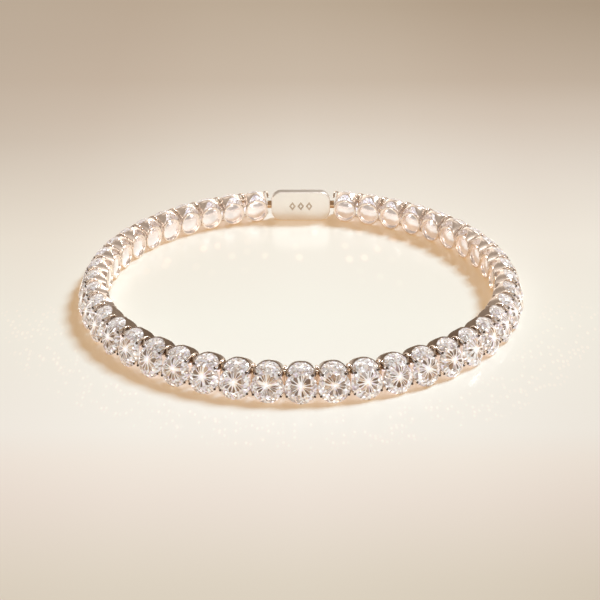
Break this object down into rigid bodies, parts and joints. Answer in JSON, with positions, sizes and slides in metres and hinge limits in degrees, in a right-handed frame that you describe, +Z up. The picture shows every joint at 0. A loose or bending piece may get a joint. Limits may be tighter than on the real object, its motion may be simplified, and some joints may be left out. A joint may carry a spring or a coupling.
{
  "type": "diamond bangle",
  "caption": "Round bangle of equal faceted stones in open prong settings, each with a smaller stone on its upper shoulder, closed by a plain clasp plate; lies flat on its side.",
  "frame": {"origin": "middle of the bangle's own box, on the ground that it lies on", "axes": "+Z up, along the wrist opening; middle stone towards -Y and clasp plate towards +Y"},
  "size_m": [0.0644, 0.0638, 0.0049],
  "materials": {
    "stone": "clear colourless stone, brilliant cut, polished facets",
    "setting": "polished warm pale gold, with the small shoulder stones joined on",
    "clasp": "polished warm pale gold, rounded edges"
  },
  "bodies": {
    "root": {"stone_01": "stone", "stone_02": "stone", "stone_03": "stone", "stone_04": "stone", "stone_05": "stone", "stone_06": "stone", "stone_07": "stone", "stone_08": "stone", "stone_09": "stone", "stone_10": "stone", "stone_11": "stone", "stone_12": "stone", "stone_13": "stone", "stone_14": "stone", "stone_15": "stone", "stone_16": "stone", "stone_17": "stone", "stone_18": "stone", "stone_19": "stone", "stone_20": "stone", "stone_21": "stone", "stone_22": "stone", "stone_23": "stone", "stone_24": "stone", "stone_25": "stone", "stone_26": "stone", "stone_27": "stone", "stone_28": "stone", "stone_29": "stone", "stone_30": "stone", "stone_31": "stone", "stone_32": "stone", "stone_33": "stone", "stone_34": "stone", "stone_35": "stone", "stone_36": "stone", "stone_37": "stone", "stone_38": "stone", "stone_39": "stone", "stone_40": "stone", "stone_41": "stone", "stone_42": "stone", "stone_43": "stone", "setting_run_01": "setting", "setting_run_02": "setting", "setting_run_03": "setting", "setting_run_04": "setting", "setting_run_05": "setting", "setting_run_06": "setting", "setting_run_07": "setting", "setting_run_08": "setting", "setting_run_09": "setting", "setting_run_10": "setting", "setting_run_11": "setting", "clasp_plate": "clasp"}
  },
  "joints": []
}
